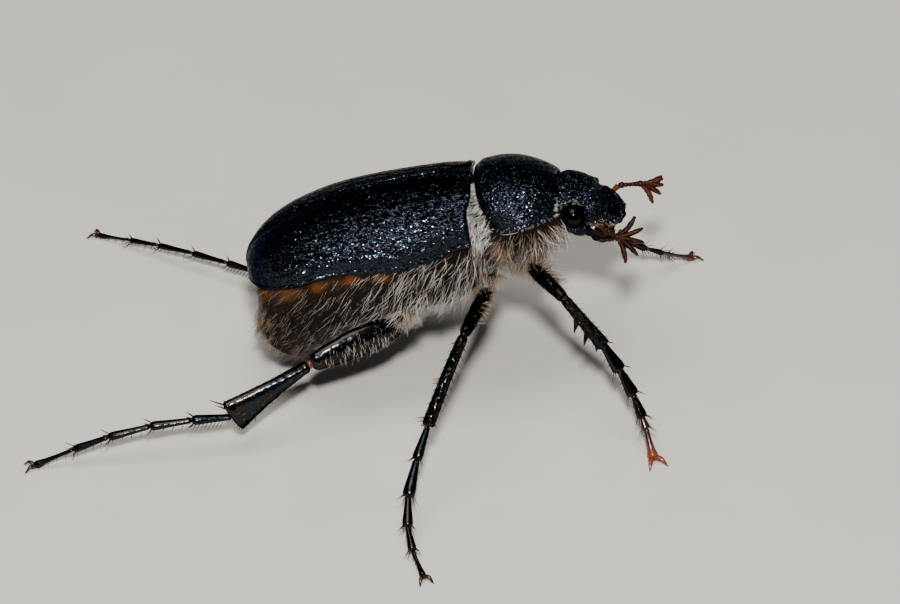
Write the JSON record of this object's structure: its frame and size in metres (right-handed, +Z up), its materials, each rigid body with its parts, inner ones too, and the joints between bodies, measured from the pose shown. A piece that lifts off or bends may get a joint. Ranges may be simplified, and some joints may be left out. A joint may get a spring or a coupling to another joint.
{
  "type": "chafer beetle",
  "caption": "Still, life-size model of a black male chafer beetle walking on long spiny legs, with fanned antennae and a hairy underside.",
  "frame": {"origin": "middle of the part's footprint box, at floor level", "axes": "+X towards the beetle's head, +Y towards its left side, +Z up"},
  "size_m": [0.0278, 0.027, 0.0101],
  "materials": {
    "shell": "black wing cases, pronotum and head, finely pitted, with a satin blue sheen",
    "underside": "dark brown underside under long pale hairs",
    "limb": "glossy black legs with red-brown spines and claws",
    "feeler": "red-brown antennae and mouthparts",
    "eye": "glossy black, finely faceted"
  },
  "bodies": {
    "root": {"abdomen": "underside", "antenna_club_left": "feeler", "antenna_club_right": "feeler", "antenna_left": "feeler", "antenna_right": "feeler", "coxa_front_left": "underside", "coxa_front_right": "underside", "coxa_hind_left": "underside", "coxa_hind_right": "underside", "coxa_mid_left": "underside", "coxa_mid_right": "underside", "elytron_left": "shell", "elytron_right": "shell", "eye_left": "eye", "eye_right": "eye", "femur_front_left": "limb", "femur_front_right": "limb", "femur_hind_left": "limb", "femur_hind_right": "limb", "femur_mid_left": "limb", "femur_mid_right": "limb", "head": "shell", "mouthparts": "feeler", "palp_left": "feeler", "palp_right": "feeler", "pronotum": "shell", "prothorax": "underside", "pygidium": "underside", "scutellum": "shell", "tarsus_front_left": "limb", "tarsus_front_right": "limb", "tarsus_hind_left": "limb", "tarsus_hind_right": "limb", "tarsus_mid_left": "limb", "tarsus_mid_right": "limb", "thorax": "underside", "tibia_front_left": "limb", "tibia_front_right": "limb", "tibia_hind_left": "limb", "tibia_hind_right": "limb", "tibia_mid_left": "limb", "tibia_mid_right": "limb"}
  },
  "joints": []
}
